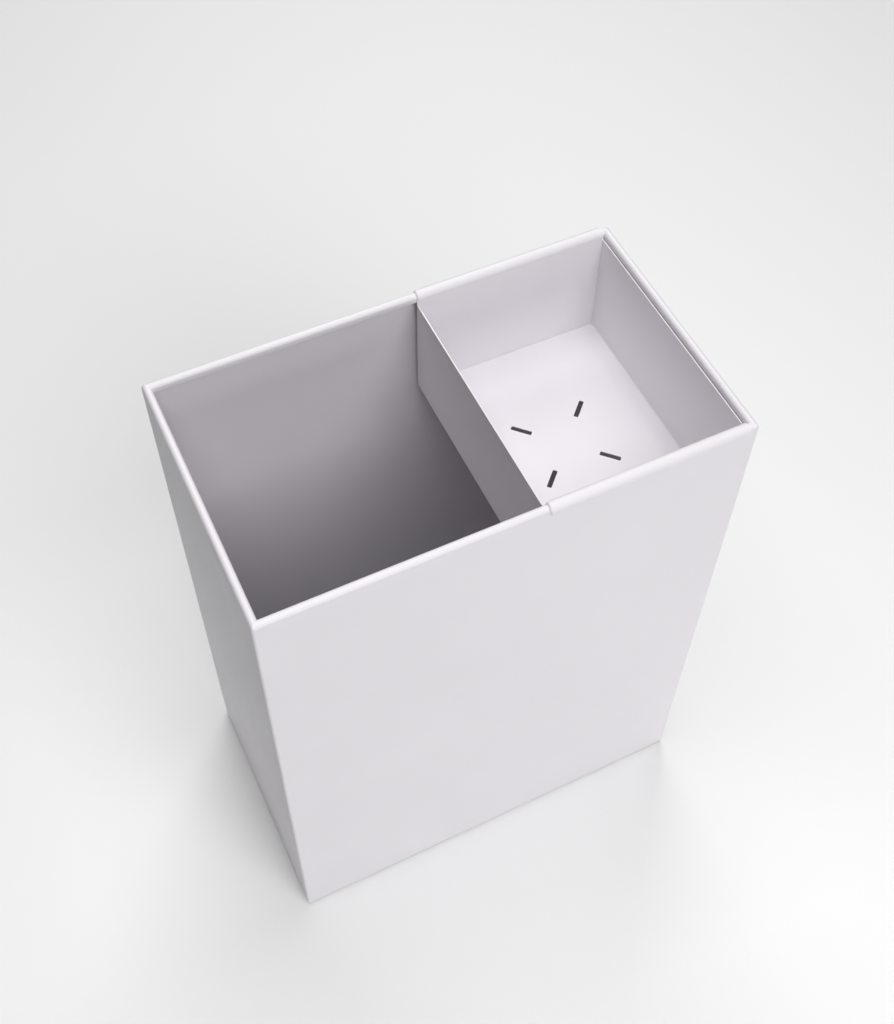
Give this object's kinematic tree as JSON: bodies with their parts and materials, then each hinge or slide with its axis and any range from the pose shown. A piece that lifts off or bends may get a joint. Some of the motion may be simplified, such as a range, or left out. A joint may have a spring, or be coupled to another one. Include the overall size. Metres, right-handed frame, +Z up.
{
  "type": "umbrella stand",
  "caption": "Tall open rectangular sheet-metal umbrella bin with a rolled rim, a hanging drained tray for compact umbrellas and a loose drip pan inside.",
  "frame": {"origin": "on the floor, under the centre of the bin: the undersides of the four feet are at z = 0", "axes": "+Z up, +X to the right along the long side with the hanging tray at the +X end, -Y towards the front"},
  "size_m": [0.33, 0.1926, 0.4533],
  "materials": {
    "bin_coat": "satin white powder coat, fine orange peel",
    "tray_coat": "satin white powder coat, fine orange peel",
    "foot_rubber": "matt moulded rubber",
    "pan_plastic": "fine textured moulding"
  },
  "bodies": {
    "bin": {"outer_shell": "bin_coat", "base_plate": "bin_coat", "foot_front_left": "foot_rubber", "foot_front_right": "foot_rubber", "foot_rear_left": "foot_rubber", "foot_rear_right": "foot_rubber"},
    "tray": {"tray_trough": "tray_coat", "tray_front_hook_panel": "tray_coat", "tray_rear_hook_panel": "tray_coat"},
    "pan": {"drip_pan": "pan_plastic"}
  },
  "joints": [
    {"name": "tray_lift", "type": "slide", "parent": "bin", "child": "tray", "axis": [0, 0, 1], "range_m": [0, 0.12]},
    {"name": "drip_pan_lift", "type": "slide", "parent": "bin", "child": "pan", "axis": [0, 0, 1], "range_m": [0, 0.32]}
  ]
}
